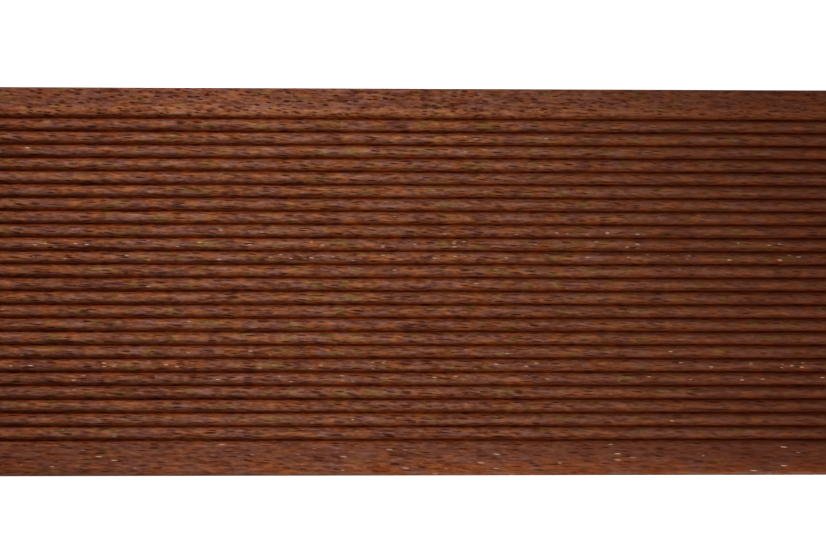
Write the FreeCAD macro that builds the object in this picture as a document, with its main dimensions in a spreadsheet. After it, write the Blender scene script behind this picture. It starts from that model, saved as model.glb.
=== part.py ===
# A decking board: one length of solid hardwood, planed to a rectangular section with rounded long
# edges, and reeded along its upper face by a row of parallel grooves. The underside is left plain.
# Millimetres. +X runs along the board, +Y across it towards the back edge, and +Z up. The origin is
# the middle of the flat underside.
import FreeCAD, Part
import math
import os
import Sketcher

# Driving dimensions: name, value, and what it measures.
DRIVING_SIZES = [
    ("board_length", 1830, "end to end, the six-foot stock length"),
    ("board_width", 145, "across the two long edges"),
    ("board_thickness", 25, "underside to the tops of the ribs"),
    ("edge_radius", 2, "rounding of the four long edges"),
    ("fence_margin", 11.9, "back edge, which ran along the fence, to the middle of the first groove"),
    ("groove_pitch", 5, "middle of one groove to the middle of the next"),
    ("groove_depth", 2, "tops of the ribs to the bottom of a groove"),
    ("root_radius", 0.45, "rounding at the bottom of a groove"),
    ("shoulder_radius", 1.8, "rounding of a rib where it falls into a groove"),
    ("flank_draft", 14, "lean of a groove's side from upright, in degrees"),
]

# The cutters stand at a fixed pitch from the fence, and stop where less than the same margin is left.
GROOVE_COUNT = "floor((Sizes.board_width - 2 * Sizes.fence_margin) / Sizes.groove_pitch) + 1"

# The share by which the wood that the grooves take away may differ from their section times the length.
VOLUME_TOLERANCE = 0.001

# A sketch's numbers for its own origin, and for the points of a curve.
SKETCH_ORIGIN = (-1, 1)
START, END, CENTRE = range(1, 4)


def make_sizes(doc):
    """The spreadsheet of driving dimensions, one row for each."""
    sheet = doc.addObject("Spreadsheet::Sheet", "Sizes")
    for row, (name, value, meaning) in enumerate(DRIVING_SIZES, start=1):
        sheet.set(f"A{row}", name)
        sheet.set(f"B{row}", str(value))
        sheet.set(f"C{row}", meaning)
        sheet.setAlias(f"B{row}", name)
    doc.recompute()
    return sheet


def section_sketch(body, name):
    """A sketch on the board's cross-section plane: its x is the board's Y, its y is the board's Z."""
    plane = next(f for f in body.Origin.OriginFeatures if f.Role == "YZ_Plane")
    sketch = body.newObject("Sketcher::SketchObject", name)
    sketch.AttachmentSupport = (plane, [""])
    sketch.MapMode = "FlatFace"
    return sketch


def dimension(sketch, name, expression, *constraint):
    """Adds a dimension to a sketch under a name, and ties it to the spreadsheet."""
    index = sketch.addConstraint(Sketcher.Constraint(*constraint))
    sketch.renameConstraint(index, name)
    sketch.setExpression(f"Constraints.{name}", expression)


def planed_blank(body, sizes):
    """The sawn and planed board before moulding: a rectangle, padded both ways along the board."""
    width, thickness = sizes.board_width, sizes.board_thickness
    corners = [
        FreeCAD.Vector(-width / 2, 0, 0),
        FreeCAD.Vector(width / 2, 0, 0),
        FreeCAD.Vector(width / 2, thickness, 0),
        FreeCAD.Vector(-width / 2, thickness, 0),
    ]
    sketch = section_sketch(body, "BlankSection")
    underside, back, top, front = (
        sketch.addGeometry(Part.LineSegment(a, b)) for a, b in zip(corners, corners[1:] + corners[:1])
    )
    for line, following in ((underside, back), (back, top), (top, front), (front, underside)):
        sketch.addConstraint(Sketcher.Constraint("Coincident", line, END, following, START))
    for line in (underside, top):
        sketch.addConstraint(Sketcher.Constraint("Horizontal", line))
    for line in (back, front):
        sketch.addConstraint(Sketcher.Constraint("Vertical", line))
    sketch.addConstraint(Sketcher.Constraint("Symmetric", underside, START, underside, END, *SKETCH_ORIGIN))
    dimension(sketch, "width", "Sizes.board_width", "DistanceX", underside, START, underside, END, width)
    dimension(sketch, "thickness", "Sizes.board_thickness", "DistanceY", back, START, back, END, thickness)

    blank = body.newObject("PartDesign::Pad", "PlanedBlank")
    blank.Profile = sketch
    blank.SideType = "Symmetric"
    blank.setExpression("Length", "Sizes.board_length")
    body.Document.recompute()
    return blank


def rounded_edges(body, blank):
    """Rounds the four edges that run along the board."""
    along = FreeCAD.Vector(1, 0, 0)
    names = [
        f"Edge{number}"
        for number, edge in enumerate(blank.Shape.Edges, start=1)
        if abs(edge.tangentAt(edge.FirstParameter).dot(along)) > math.cos(math.radians(1))
    ]
    rounding = body.newObject("PartDesign::Fillet", "RoundedEdges")
    rounding.Base = (blank, names)
    rounding.setExpression("Radius", "Sizes.edge_radius")
    body.Document.recompute()
    return rounding


def groove_section(body, sizes):
    """The section of the first groove: a round root, two leaning flanks, and two round shoulders that
    run out level with the tops of the ribs."""
    middle = sizes.board_width / 2 - sizes.fence_margin
    rib_top = sizes.board_thickness
    root, shoulder = sizes.root_radius, sizes.shoulder_radius
    draft = math.radians(sizes.flank_draft)
    root_height = rib_top - sizes.groove_depth + root
    # Half the groove's mouth, from a flank that touches both the root and the shoulder.
    flank_rise = sizes.groove_depth - (root + shoulder) * (1 - math.sin(draft))
    half_mouth = (root + shoulder) * math.cos(draft) + flank_rise * math.tan(draft)

    def arc(centre_x, centre_y, radius, start_angle, end_angle):
        circle = Part.Circle(FreeCAD.Vector(centre_x, centre_y, 0), FreeCAD.Vector(0, 0, 1), radius)
        return Part.ArcOfCircle(circle, start_angle, end_angle)

    def flank(side):
        foot = FreeCAD.Vector(middle + side * root * math.cos(draft), root_height - root * math.sin(draft), 0)
        head_x = middle + side * (half_mouth - shoulder * math.cos(draft))
        head = FreeCAD.Vector(head_x, rib_top - shoulder * (1 - math.sin(draft)), 0)
        return Part.LineSegment(foot, head)

    sketch = section_sketch(body, "GrooveSection")
    bottom = sketch.addGeometry(arc(middle, root_height, root, math.pi + draft, 2 * math.pi - draft))
    back_flank = sketch.addGeometry(flank(1))
    back_shoulder = sketch.addGeometry(
        arc(middle + half_mouth, rib_top - shoulder, shoulder, math.pi / 2, math.pi - draft)
    )
    mouth = sketch.addGeometry(
        Part.LineSegment(
            FreeCAD.Vector(middle + half_mouth, rib_top, 0), FreeCAD.Vector(middle - half_mouth, rib_top, 0)
        )
    )
    front_shoulder = sketch.addGeometry(
        arc(middle - half_mouth, rib_top - shoulder, shoulder, draft, math.pi / 2)
    )
    front_flank = sketch.addGeometry(flank(-1))

    joins = [
        (bottom, END, back_flank, START),
        (back_flank, END, back_shoulder, END),
        (back_shoulder, START, mouth, START),
        (mouth, END, front_shoulder, END),
        (front_shoulder, START, front_flank, END),
        (front_flank, START, bottom, START),
    ]
    for join in joins:
        sketch.addConstraint(Sketcher.Constraint("Tangent", *join))
    sketch.addConstraint(Sketcher.Constraint("Horizontal", mouth))
    sketch.addConstraint(Sketcher.Constraint("Equal", back_shoulder, front_shoulder))
    sketch.addConstraint(Sketcher.Constraint("Equal", back_flank, front_flank))
    dimension(sketch, "root_radius", "Sizes.root_radius", "Radius", bottom, root)
    dimension(sketch, "shoulder_radius", "Sizes.shoulder_radius", "Radius", back_shoulder, shoulder)
    dimension(
        sketch, "flank_slope", "90 deg - Sizes.flank_draft * 1 deg", "Angle", back_flank, math.pi / 2 - draft
    )
    dimension(
        sketch, "mouth_height", "Sizes.board_thickness", "DistanceY", *SKETCH_ORIGIN, mouth, START, rib_top
    )
    dimension(
        sketch,
        "root_height",
        "Sizes.board_thickness - Sizes.groove_depth + Sizes.root_radius",
        "DistanceY",
        *SKETCH_ORIGIN,
        bottom,
        CENTRE,
        root_height,
    )
    dimension(
        sketch,
        "first_groove",
        "Sizes.board_width / 2 - Sizes.fence_margin",
        "DistanceX",
        *SKETCH_ORIGIN,
        bottom,
        CENTRE,
        middle,
    )
    return sketch


def groove_row(body, section):
    """Cuts the first groove along the whole board and repeats it across the board to the front edge."""
    first = body.newObject("PartDesign::Pocket", "FirstGroove")
    first.Profile = section
    first.Type = "ThroughAll"
    first.SideType = "Symmetric"
    body.Document.recompute()

    row = body.newObject("PartDesign::LinearPattern", "GrooveRow")
    row.Originals = [first]
    row.Direction = (section, ["H_Axis"])
    row.Reversed = True
    row.Mode = "Spacing"
    row.setExpression("Offset", "Sizes.groove_pitch")
    row.setExpression("Occurrences", GROOVE_COUNT)
    body.Tip = row
    body.Document.recompute()
    return row


def check(doc, body, rounding, section, row):
    """Stops the build if a feature failed, the board isn't one sound solid, or the grooves cut too little."""
    failed = [o.Name for o in doc.Objects if "Invalid" in o.State or "Error" in o.State]
    if failed:
        raise RuntimeError(f"these objects failed: {failed}")
    shape = body.Shape
    if shape.isNull() or not shape.isValid() or len(shape.Solids) != 1:
        raise RuntimeError("the board isn't one valid solid")
    groove_area = Part.Face(section.Shape.Wires[0]).Area
    expected = groove_area * row.Occurrences * shape.BoundBox.XLength
    removed = rounding.Shape.Volume - shape.Volume
    if abs(removed - expected) > VOLUME_TOLERANCE * expected:
        raise RuntimeError(f"the grooves took {removed:.0f} mm3 of wood and should take {expected:.0f}")


def main():
    doc = FreeCAD.newDocument("decking_board")
    sizes = make_sizes(doc)
    body = doc.addObject("PartDesign::Body", "DeckingBoard")
    body.Label = "decking_board"
    blank = planed_blank(body, sizes)
    rounding = rounded_edges(body, blank)
    section = groove_section(body, sizes)
    row = groove_row(body, section)
    check(doc, body, rounding, section, row)
    os.makedirs("parts", exist_ok=True)
    body.Shape.exportStep(f"parts/{body.Label}.step")
    box = body.Shape.BoundBox
    print(f"{body.Label}: {box.XLength:.1f} x {box.YLength:.1f} x {box.ZLength:.1f} mm,", end=" ")
    print(f"{row.Occurrences} grooves, {body.Shape.Volume / 1e6:.3f} litres")


main()
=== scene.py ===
import bmesh
import bpy
import math
from itertools import accumulate
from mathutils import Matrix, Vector, noise


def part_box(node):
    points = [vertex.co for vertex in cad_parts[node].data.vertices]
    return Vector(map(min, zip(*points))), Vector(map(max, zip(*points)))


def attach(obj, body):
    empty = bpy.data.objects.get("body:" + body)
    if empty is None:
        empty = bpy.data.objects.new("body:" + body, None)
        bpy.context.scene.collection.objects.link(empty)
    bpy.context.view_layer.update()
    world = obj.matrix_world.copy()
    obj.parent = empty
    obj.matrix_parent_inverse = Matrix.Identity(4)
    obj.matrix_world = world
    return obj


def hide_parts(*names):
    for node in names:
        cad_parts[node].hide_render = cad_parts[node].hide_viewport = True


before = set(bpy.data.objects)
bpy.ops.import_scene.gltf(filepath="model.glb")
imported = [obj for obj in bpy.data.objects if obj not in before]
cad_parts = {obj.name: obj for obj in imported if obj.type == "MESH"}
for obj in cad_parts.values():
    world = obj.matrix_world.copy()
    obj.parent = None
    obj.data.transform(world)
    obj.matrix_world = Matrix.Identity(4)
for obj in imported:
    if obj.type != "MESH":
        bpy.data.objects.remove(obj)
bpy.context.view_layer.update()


# The board is one length of dense red-brown hardwood, planed to a rectangle. Its four long edges are
# rounded over, and a row of cutters runs the grooves that leave the round-topped ribs of its upper face.
MM = 0.001
HAIR = 0.001 * MM
low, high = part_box("decking_board")
fence_margin = 11.9 * MM
groove_pitch = 5 * MM
groove_depth = 2 * MM
flank_lean = 14
flank_turn = math.radians(90 - flank_lean)
root_radius = 0.45 * MM
shoulder_radius = 1.8 * MM
edge_radius = 2 * MM
half_root = root_radius * math.tan(flank_turn / 2)
half_mouth = half_root + groove_depth / math.tan(flank_turn)
groove_count = math.floor((high.y - low.y - 2 * fence_margin) / groove_pitch) + 1
groove_middles = [high.y - fence_margin - number * groove_pitch for number in range(groove_count)]
rib_level = high.z - HAIR
groove_level = high.z - groove_depth - HAIR

board = bmesh.new()
bmesh.ops.create_cube(board, size=1)
bmesh.ops.scale(board, vec=high - low, verts=board.verts)
bmesh.ops.translate(board, vec=(low + high) / 2, verts=board.verts)

# Each groove starts as four lines along the top, and the strip between the inner two is pressed down.
for middle in groove_middles:
    for line in (middle - half_mouth, middle - half_root, middle + half_root, middle + half_mouth):
        top = [face for face in board.faces if face.calc_center_median().z > rib_level]
        sides = {edge for face in top for edge in face.edges}
        corners = {vert for face in top for vert in face.verts}
        bmesh.ops.bisect_plane(
            board, geom=[*top, *sides, *corners], plane_co=(0, line, 0), plane_no=(0, 1, 0)
        )
roots = [
    vert
    for vert in board.verts
    if vert.co.z > rib_level
    and any(abs(vert.co.y - middle) < half_root + HAIR for middle in groove_middles)
]
bmesh.ops.translate(board, vec=(0, 0, -groove_depth), verts=roots)


def long_edges(fits):
    """The edges that run along the board at a place in its section that fits."""
    found = []
    for edge in board.edges:
        here, there = (vert.co for vert in edge.verts)
        if abs(here.x - there.x) > HAIR and fits(here.y, here.z):
            found.append(edge)
    return found


def round_over(edges, radius, turn, segments):
    """Rounds long edges to a radius, where the surface turns by an angle."""
    bmesh.ops.bevel(
        board,
        geom=edges,
        offset=radius * math.tan(turn / 2),
        offset_type="OFFSET",
        affect="EDGES",
        segments=segments,
        profile=0.5,
        material=-1,
        clamp_overlap=False,
    )


def at_side(y, z):
    """On one of the board's two long sides."""
    return min(abs(y - low.y), abs(y - high.y)) < HAIR


def at_mouth(y, z):
    """On one of the lines where a groove's flanks reach the tops of the ribs."""
    return z > rib_level and any(abs(abs(y - middle) - half_mouth) < HAIR for middle in groove_middles)


def at_root(y, z):
    """On one of the lines where a groove's flanks reach its bottom."""
    return abs(z - high.z + groove_depth) < HAIR


# The two roundings at the bottom of a groove stop just short of each other, and the points on either
# side of what is left between them are then joined.
just_short = 0.99
joined_within = 0.02 * MM
round_over(long_edges(at_side), edge_radius, math.pi / 2, segments=4)
round_over(long_edges(at_mouth), shoulder_radius, flank_turn, segments=4)
round_over(long_edges(at_root), just_short * root_radius, flank_turn, segments=2)
bmesh.ops.remove_doubles(board, verts=board.verts, dist=joined_within)

# Stations along the board let the grooves bend.
station_length = 12.2 * MM
stations = round((high.x - low.x) / station_length)
every_long_edge = long_edges(lambda y, z: True)
bmesh.ops.subdivide_edges(board, edges=every_long_edge, cuts=stations - 1, use_grid_fill=True)
board.normal_update()

# The bake's own map: the length runs across the map, and the faces lie above one another in strips, the
# upper face unrolled into its grooves and given most of the room. Each strip has a start and a width.
upper_strip = (0, 0.64)
underside_strip = (0.65, 0.17)
back_strip = (0.83, 0.05)
front_strip = (0.89, 0.05)
ends_strip = (0.955, 0.04)
left_end_strip = (0.02, 0.46)
right_end_strip = (0.52, 0.46)
least_upward = 0.05
least_downward = -0.75
bake_map = board.loops.layers.uv.new("OFBake")

profile = sorted(
    (vert.co.y, vert.co.z)
    for vert in board.verts
    if abs(vert.co.x - low.x) < HAIR and vert.co.z > groove_level
)
steps = [math.dist(here, there) for here, there in zip(profile, profile[1:])]
girth = dict(zip((round(y / HAIR) for y, z in profile), accumulate(steps, initial=0)))
upper_girth = sum(steps)


def is_end(face):
    """Whether a face is part of one of the two sawn ends."""
    return abs(face.normal.x) > 0.5


def share(value, start, end):
    """How far a value is on the way from a start to an end, from 0 to 1."""
    return (value - start) / (end - start)


def in_strip(strip, part):
    """The place on the map that is a part of the way across a strip."""
    start, width = strip
    return start + width * part


def map_place(face, corner):
    """Where a corner of a face lies on the bake's map."""
    part_along = share(corner.x, low.x, high.x)
    part_across = share(corner.y, low.y, high.y)
    part_up = share(corner.z, low.z, high.z)
    facing = face.normal
    line = round(corner.y / HAIR)
    if is_end(face):
        end_strip = right_end_strip if facing.x > 0 else left_end_strip
        return (in_strip(end_strip, part_across), in_strip(ends_strip, part_up))
    if corner.z > groove_level and line in girth and facing.z > least_upward:
        return (part_along, in_strip(upper_strip, girth[line] / upper_girth))
    if facing.z < least_downward:
        return (part_along, in_strip(underside_strip, part_across))
    return (part_along, in_strip(back_strip if facing.y > 0 else front_strip, part_up))


for face in board.faces:
    face.smooth = not is_end(face)
    for loop in face.loops:
        loop[bake_map].uv = map_place(face, loop.vert.co)
for edge in board.edges:
    edge.smooth = all(face.smooth for face in edge.link_faces)

# The cutters wander a little where they meet harder grain, so that no groove is quite straight.
stray = 0.16 * MM
stray_length = 45 * MM
stray_width = 6.25 * MM
for vert in board.verts:
    in_grooves = groove_middles[-1] - half_mouth < vert.co.y < groove_middles[0] + half_mouth
    if vert.co.z > groove_level and in_grooves:
        spot = Vector((vert.co.x / stray_length, vert.co.y / stray_width, 0))
        vert.co.y += stray * noise.noise(spot)

board_mesh = bpy.data.meshes.new("reeded_board")
board.to_mesh(board_mesh)
board.free()
board_piece = bpy.data.objects.new("reeded_board", board_mesh)
bpy.context.collection.objects.link(board_piece)
flat_faces_stay_flat = board_piece.modifiers.new("even_shading", "WEIGHTED_NORMAL")
flat_faces_stay_flat.keep_sharp = True


class Shade:
    """One output of a shader node. Python's operators on it add Math nodes to the same shader."""

    def __init__(self, socket):
        self.socket = socket

    def add(self, kind, settings, sockets, output=0):
        """A new node in this shader, set up and linked. Gives one of its outputs."""
        tree = self.socket.id_data
        node = tree.nodes.new(kind)
        for name, setting in settings.items():
            setattr(node, name, setting)
        for name, value in sockets.items():
            if isinstance(value, Shade):
                tree.links.new(value.socket, node.inputs[name])
            else:
                node.inputs[name].default_value = value
        return Shade(node.outputs[output]) if node.outputs else None

    def math(self, operation, first, second=0):
        return self.add("ShaderNodeMath", {"operation": operation}, {0: first, 1: second})

    def __add__(self, other):
        return self.math("ADD", self, other)

    def __radd__(self, other):
        return self.math("ADD", other, self)

    def __sub__(self, other):
        return self.math("SUBTRACT", self, other)

    def __rsub__(self, other):
        return self.math("SUBTRACT", other, self)

    def __mul__(self, other):
        return self.math("MULTIPLY", self, other)

    def __rmul__(self, other):
        return self.math("MULTIPLY", other, self)


def rise(value, start, end):
    """0 up to start, 1 from end on, and a smooth rise between."""
    sockets = {"Value": value, "From Min": start, "From Max": end}
    return value.add("ShaderNodeMapRange", {"interpolation_type": "SMOOTHSTEP"}, sockets)


def fall(value, start, end):
    """1 up to start, 0 from end on, and a smooth fall between."""
    return 1 - rise(value, start, end)


def distance_from(value, middle):
    """How far a value is from a middle, either way."""
    return value.math("ABSOLUTE", value - middle)


def blend(amount, colour, other):
    """One colour turning into another."""
    return amount.add("ShaderNodeMix", {"data_type": "RGBA"}, {0: amount, 6: colour, 7: other}, 2)


def dyed(colour, dye):
    """A colour multiplied by another."""
    return dye.add("ShaderNodeVectorMath", {"operation": "MULTIPLY"}, {0: colour, 1: dye})


def scaled(value, amount):
    """A colour or a place, scaled by an amount."""
    return value.add("ShaderNodeVectorMath", {"operation": "SCALE"}, {"Vector": value, "Scale": amount})


def stretched(place, length, width, shift):
    """Places drawn in, so that a pattern one unit wide comes out that long and wide in millimetres."""
    return place.add(
        "ShaderNodeVectorMath",
        {"operation": "MULTIPLY_ADD"},
        {0: place, 1: (1 / length, 1 / width, 1 / width), 2: (shift, shift, shift)},
    )


def grain(place, length, width, detail=2.0, shift=0.0):
    """Cloudy streaks of about that length and width, along the fibres, from 0 to 1."""
    drawn_in = stretched(place, length, width, shift)
    sockets = {"Vector": drawn_in, "Scale": 1.0, "Detail": detail, "Roughness": 0.55}
    return place.add("ShaderNodeTexNoise", {}, sockets)


def vessels(place, length, width, shift=0.0):
    """Cut vessels of the wood: the distance from each one's middle, and a random number for each."""
    sockets = {"Vector": stretched(place, length, width, shift), "Scale": 1.0}
    distance = place.add("ShaderNodeTexVoronoi", {}, sockets)
    cell_colour = Shade(distance.socket.node.outputs["Color"])
    chance = place.add("ShaderNodeSeparateColor", {}, {"Color": cell_colour}, "Red")
    return distance, chance


# The wood is worked out in millimetres along the board, across it and up.
hardwood = bpy.data.materials.new("hardwood_planed")
hardwood.use_nodes = True
hardwood.node_tree.nodes.clear()
start = hardwood.node_tree.nodes.new("ShaderNodeTexCoord")
place = scaled(Shade(start.outputs["Object"]), 1 / MM)
along, across, up = (place.add("ShaderNodeSeparateXYZ", {}, {"Vector": place}, axis) for axis in "XYZ")


def sloping(slope, sideways):
    """Places along fibres that slope across the board and are moved sideways."""
    return place.add(
        "ShaderNodeCombineXYZ", {}, {"X": along, "Y": across + slope * along + sideways, "Z": up}
    )


# The fibres slope a little across the board, and waver. Near the back edge the vessels slope more.
waver = 2.0 * grain(place, 120, 40, detail=1.0)
fibres = sloping(0.04, waver)
vessel_run = sloping(0.06, waver)
steep_run = sloping(0.11, 0)

# The parts of the upper face that differ: a quiet part right of the middle, the front third, the two
# plain margins, and two bands of painted highlight, one along the front edge, stronger to the right, and
# one on the first groove's shoulder.
quiet_part = rise(along, 0, 120) * fall(along, 300, 500)
front_part = fall(across, -42, -25)
front_margin = fall(across, -62.2, -59.5)
front_edge_highlight = fall(across, -70, -64) * (0.5 + 0.5 * rise(along, -110, -10))
back_margin = rise(across, 64, 66.5)
groove_shoulder_highlight = fall(distance_from(across, 62.6), 0.8, 2.8)

# The wood itself is red-brown, mottled with short patches of orange, purple and olive brown. The front
# and the margins are the more purple, and the two painted highlights are orange.
red_brown = (0.197, 0.067, 0.033, 1)
orange_brown = (0.231, 0.070, 0.024, 1)
purple_brown = (0.179, 0.064, 0.041, 1)
olive_brown = (0.180, 0.082, 0.023, 1)
front_highlight_orange = (0.230, 0.059, 0.017, 1)
patches = rise(grain(place, 8, 4.2, detail=0.0, shift=3.1), 0.38, 0.62)
warm = rise(grain(place, 7.5, 3.6, detail=0.0, shift=12.3), 0.50, 0.65)
greenish = rise(grain(place, 6.0, 3.2, detail=0.0, shift=7.7), 0.60, 0.74)
clouds = rise(grain(fibres, 14, 6, detail=1.0, shift=30.0), 0.35, 0.60)
colour = blend(patches + 0.25 * quiet_part, purple_brown, red_brown)
colour = blend((0.95 - 0.1 * quiet_part) * warm, colour, orange_brown)
colour = blend((0.8 - 0.1 * quiet_part) * greenish, colour, olive_brown)
colour = blend(0.15 * front_part + 0.2 * front_margin + 0.25 * back_margin, colour, purple_brown)
# An orange painted highlight along the front edge, in patches.
colour = blend(0.9 * front_edge_highlight * clouds, colour, front_highlight_orange)
# An orange painted highlight on the shoulder of the first groove.
colour = blend(0.6 * groove_shoulder_highlight, colour, orange_brown)

# Fine and broad streaks run with the fibres, fainter in the quiet part and the front margin.
fine_streaks = grain(fibres, 3.0, 0.74, detail=3.0, shift=1.7)
middle_streaks = grain(fibres, 12, 1.2, shift=9.1)
broad_streaks = grain(fibres, 110, 6.0, shift=5.2)
calm = (1 - 0.35 * quiet_part) * (1 - 0.22 * front_margin)
streaks = 1 + calm * (2.5 * fine_streaks + 1.5 * middle_streaks + 0.5 * broad_streaks - 2.25)

# The board is darker and redder by stretches: on both sides of a light middle, partly its own tone and
# partly painted shade where the light falls off away from the middle, and here and there towards its
# ends.
white = (1, 1, 1, 1)
dark_tone_and_shade = (0.48, 0.37, 0.315, 1)
light_middle = -20
wave_length = 460
middle_tone_and_shade = 0.5 + 0.5 * along.math("COSINE", (along - light_middle) * (2 * math.pi / wave_length))
end_stretch = 0.45 + 2.4 * (grain(place, 190, 300, detail=1.0, shift=2.6) - 0.5)
towards_end = rise(distance_from(along, 0), 150, 420)
stretch_and_shade = middle_tone_and_shade + towards_end * (end_stretch - middle_tone_and_shade)
stretch_and_shade_tint = blend(stretch_and_shade, dark_tone_and_shade, white)

# Cut vessels show as short dark dashes, some deeper than others. Those of the back margin are shorter.
at_back = rise(across, 58, 62)
vessel_distance, vessel_chance = vessels(vessel_run, length=6.6, width=0.76)
steep_distance, steep_chance = vessels(steep_run, length=3.7, width=0.9, shift=4.4)
long_vessel = fall(vessel_distance, 0.23, 0.35) * rise(vessel_chance, 0.1, 0.8)
short_vessel = fall(steep_distance, 0.25, 0.37) * rise(steep_chance, -0.1, 0.6)
cut_vessels = calm * ((1 - at_back) * long_vessel + at_back * (0.9 * short_vessel))

# The ribs' sides are darker than their tops, painted shade of the ribs' rounding, and rougher where the
# cutters milled them;
# the bottoms of the grooves are darker and redder, painted shade. A lane runs from one groove's middle
# over the rib in front of it to the next.
depth = high.z / MM - up
from_grooves = distance_from(across, (groove_middles[0] + groove_middles[-1]) / 2 / MM)
sawn_end = rise(distance_from(along, 0), high.x / MM - 0.4, high.x / MM - 0.1)
grooved = fall(from_grooves, 62, 64) * fall(depth, 2.1, 2.6) * (1 - sawn_end)
milled_and_shaded = rise(depth, -0.05, 0.50) * grooved
deep = rise(depth, 0.3, 1.5) * grooved
lane = along.math("FRACT", ((high.y - fence_margin) / MM - across) * (MM / groove_pitch))
# Painted shade at the foot of each rib's front side, where it goes down into the next groove.
leaving_foot_shade = milled_and_shaded * rise(lane, 0.72, 0.92) * fall(lane, 0.92, 1.0) * (1 - 0.7 * quiet_part)
leaving_shade_tint = blend(leaving_foot_shade, white, (0.88, 0.76, 0.62, 1))
# Painted shade: the bottoms of the grooves darker and redder.
groove_shade_tint = blend(deep, white, (1.20, 0.62, 0.21, 1))

# On the side where the cutters left a rib, dark streaks: grain that the cutters tore, and painted shade
# of that front-facing side where the light comes from behind, most of them left of the middle and towards
# the back, and in the quiet part.
torn_and_shaded_part = rise(along, -420, -260) * fall(along, -110, 20) * (0.5 + 0.5 * rise(across, -35, 0))
torn_and_shade_share = 0.27 + 0.45 * torn_and_shaded_part + 0.6 * quiet_part
rough_grain = grain(fibres, 18, 2.6, shift=21.0)
torn_and_shaded = rise(rough_grain + 0.24 * rise(lane, 0.42, 0.95) * torn_and_shade_share, 0.68, 0.76) * rise(lane, 0.42, 0.55)
torn_and_shade_tint = blend(milled_and_shaded * (1 - deep) * torn_and_shaded, white, (0.44, 0.46, 0.45, 1))

# Dark parts are the redder and light parts the paler. The back margin, only planed, is a little darker;
# the front margin is darker by its own tone and by painted shade, least along the front edge; the first
# groove's shoulder is lighter by a painted highlight.
darkest = 0.25
depth_of_colour = (1.0, 1.5, 1.8)
margin_tone_and_shade = 0.13 * back_margin - 0.09 * groove_shoulder_highlight + 0.16 * front_margin * (1 - front_edge_highlight)
lightness = streaks * (1 - 0.82 * cut_vessels) * (1 - margin_tone_and_shade - 0.05 * front_part)
lightness = along.math("MAXIMUM", lightness, darkest)
tone = place.add("ShaderNodeVectorMath", {"operation": "POWER"}, {0: lightness, 1: depth_of_colour})
for tint in (tone, stretch_and_shade_tint, torn_and_shade_tint, leaving_shade_tint, groove_shade_tint):
    colour = dyed(colour, tint)
# Painted shade: the ribs' sides and the grooves darker than the tops.
colour = scaled(colour, 1 - 0.24 * milled_and_shaded)

# A few vessels are filled with a pale deposit: fine ones all over, many of them in two rows along the
# board, and longer ones in the front margin. None shows deep in a groove or on a sawn end.
deposit_pale = (0.58, 0.375, 0.25, 1)
fleck_rows = (11, -33)
fine_share = 0.008
for row_middle in fleck_rows:
    fine_share = fine_share + 0.17 * fall(distance_from(across, row_middle), 3, 8)
front_share = 0.06 * front_margin * fall(depth, 0.5, 2.5)
in_sight = (1 - grooved * rise(depth, 0.2, 0.6)) * (1 - sawn_end)
fine_flecks = (3.8, 0.62, 8.8, fine_share)
front_flecks = (5.6, 0.66, 15.5, front_share)
for length, width, shift, share_filled in (fine_flecks, front_flecks):
    fleck_distance, fleck_chance = vessels(vessel_run, length, width, shift)
    filled = rise(fleck_chance + share_filled, 0.996, 1.004)
    fleck = fall(fleck_distance, 0.16, 0.28) * filled * in_sight
    colour = blend(0.9 * fleck, colour, deposit_pale)

# The long upper edges are rubbed a little paler, and the sawn ends are darker.
rubbed_pale = (0.27, 0.13, 0.07, 1)
upper_edge = rise(from_grooves, 70.6, 71.6) * rise(depth, 0.03, 0.25) * fall(depth, 1.2, 2.6)
rubbed = upper_edge * rise(grain(fibres, 12, 1.4, shift=14.0), 0.34, 0.60)
colour = blend(0.35 * rubbed, colour, rubbed_pale)
colour = scaled(colour, 1 - 0.4 * sawn_end)

# The streaks stand up a little, the vessels are sunk, and the bare wood hardly shines.
roughness = 0.55 + 0.2 * fine_streaks + 0.15 * cut_vessels + 0.1 * milled_and_shaded
relief = 0.10 * fine_streaks - 0.12 * cut_vessels
bumped = relief.add("ShaderNodeBump", {}, {"Strength": 1.0, "Distance": MM, "Height": relief})
surface = colour.add(
    "ShaderNodeBsdfPrincipled",
    {},
    {"Base Color": colour, "Roughness": roughness, "Specular IOR Level": 0.04, "Normal": bumped},
)
surface.add("ShaderNodeOutputMaterial", {}, {"Surface": surface})
board_mesh.materials.append(hardwood)

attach(board_piece, "root")
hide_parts("decking_board")


# The studio: a plain white floor that keeps a faint shadow, and dim light from all round.
floor_reach = 20
floor_gap = 0.1 * MM
floor_grey = (0.8, 0.8, 0.8, 1)
floor_lift = 0.8
floor_shape = bmesh.new()
bmesh.ops.create_grid(floor_shape, x_segments=1, y_segments=1, size=floor_reach)
bmesh.ops.translate(floor_shape, vec=(0, 0, low.z - floor_gap), verts=floor_shape.verts)
floor_mesh = bpy.data.meshes.new("floor")
floor_shape.to_mesh(floor_mesh)
floor_shape.free()
floor = bpy.data.objects.new("floor", floor_mesh)
bpy.context.collection.objects.link(floor)


def seen_directly(tree):
    """1 for what the camera sees, straight or by reflection, and 0 for light on its way to a surface."""
    path = tree.nodes.new("ShaderNodeLightPath")
    names = ("Is Camera Ray", "Is Glossy Ray", "Is Transmission Ray")
    straight, reflected, through = (Shade(path.outputs[name]) for name in names)
    return straight.math("MINIMUM", straight + reflected + through, 1)


floor_white = bpy.data.materials.new("floor_white")
floor_white.use_nodes = True
floor_white.node_tree.nodes.clear()
seen = seen_directly(floor_white.node_tree)
lit = seen.add("ShaderNodeBsdfDiffuse", {}, {"Color": floor_grey})
lifted = seen.add("ShaderNodeEmission", {}, {"Color": white, "Strength": floor_lift * seen})
floor_surface = seen.add("ShaderNodeAddShader", {}, {0: lit, 1: lifted})
seen.add("ShaderNodeOutputMaterial", {}, {"Surface": floor_surface})
floor_mesh.materials.append(floor_white)

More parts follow.
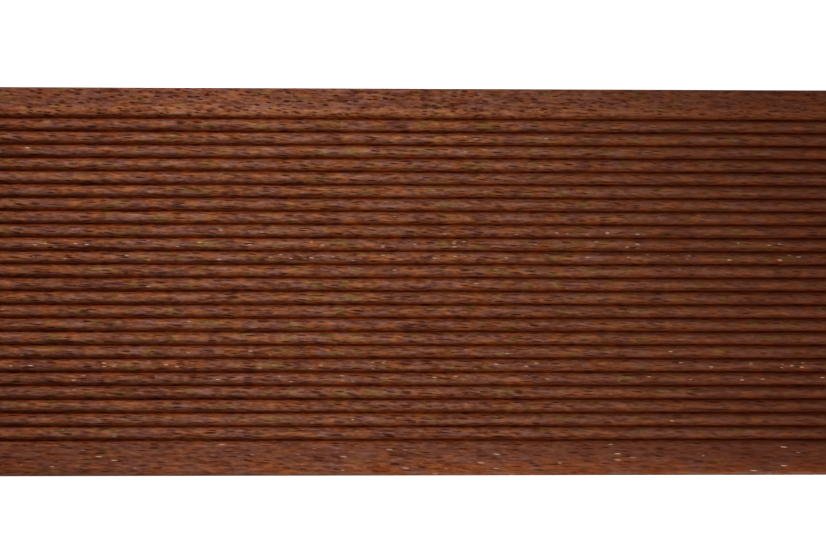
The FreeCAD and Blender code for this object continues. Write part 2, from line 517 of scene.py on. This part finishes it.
studio = bpy.data.worlds.new("studio")
bpy.context.scene.world = studio
studio.use_nodes = True
studio.node_tree.nodes.clear()
seen = seen_directly(studio.node_tree)
dim_light = 0.26
strength = dim_light + (1 - dim_light) * seen
background = seen.add("ShaderNodeBackground", {}, {"Color": white, "Strength": strength})
seen.add("ShaderNodeOutputWorld", {}, {"Surface": background})


# Strip lights with grids stand low beside the board: a strong one behind its left half, a lower one in
# front of its right half, and two faint ones that fill in the far ends from the other side.
strip_width = 0.3
strip_distance = 0.45


def strip_light(name, middle, side, height, length, spread, watts):
    """A strip light beside the board, aimed at the board's middle line."""
    lamp = bpy.data.lights.new(name, "AREA")
    lamp.shape = "RECTANGLE"
    lamp.energy = watts
    lamp.size = length
    lamp.size_y = strip_width
    lamp.spread = math.radians(spread)
    lamp_stand = bpy.data.objects.new(name, lamp)
    lamp_stand.location = (middle, side * strip_distance, height)
    beam = Vector((middle, 0, 0)) - lamp_stand.location
    lamp_stand.rotation_euler = beam.to_track_quat("-Z", "Y").to_euler()
    lamp_stand.visible_camera = False
    bpy.context.collection.objects.link(lamp_stand)


behind, in_front = 1, -1
strip_light("left_strip_light", -0.54, behind, height=0.46, length=0.92, spread=90, watts=3.15)
strip_light("right_strip_light", 0.67, in_front, height=0.37, length=1.3, spread=90, watts=2.40)
strip_light("left_fill_light", -0.90, in_front, height=0.42, length=0.9, spread=60, watts=0.6)
strip_light("right_fill_light", 0.90, behind, height=0.42, length=0.9, spread=60, watts=0.7)


# The camera looks almost straight down on the middle of the board, a little from the front and the left.
looked_at = Vector((0, 1.4 * MM, high.z))
camera_distance = 0.58
from_the_front = math.radians(5.7)
from_the_left = math.radians(1.4)
turned = math.radians(-0.06)
camera = bpy.data.cameras.new("camera")
camera.sensor_width = 36
camera.lens = 68.0
camera_stand = bpy.data.objects.new("camera", camera)
camera_stand.rotation_euler = (from_the_front, -from_the_left, turned)
backwards = camera_stand.rotation_euler.to_matrix() @ Vector((0, 0, camera_distance))
camera_stand.location = looked_at + backwards
bpy.context.collection.objects.link(camera_stand)
bpy.context.scene.camera = camera_stand
bpy.context.scene.view_settings.view_transform = "Standard"
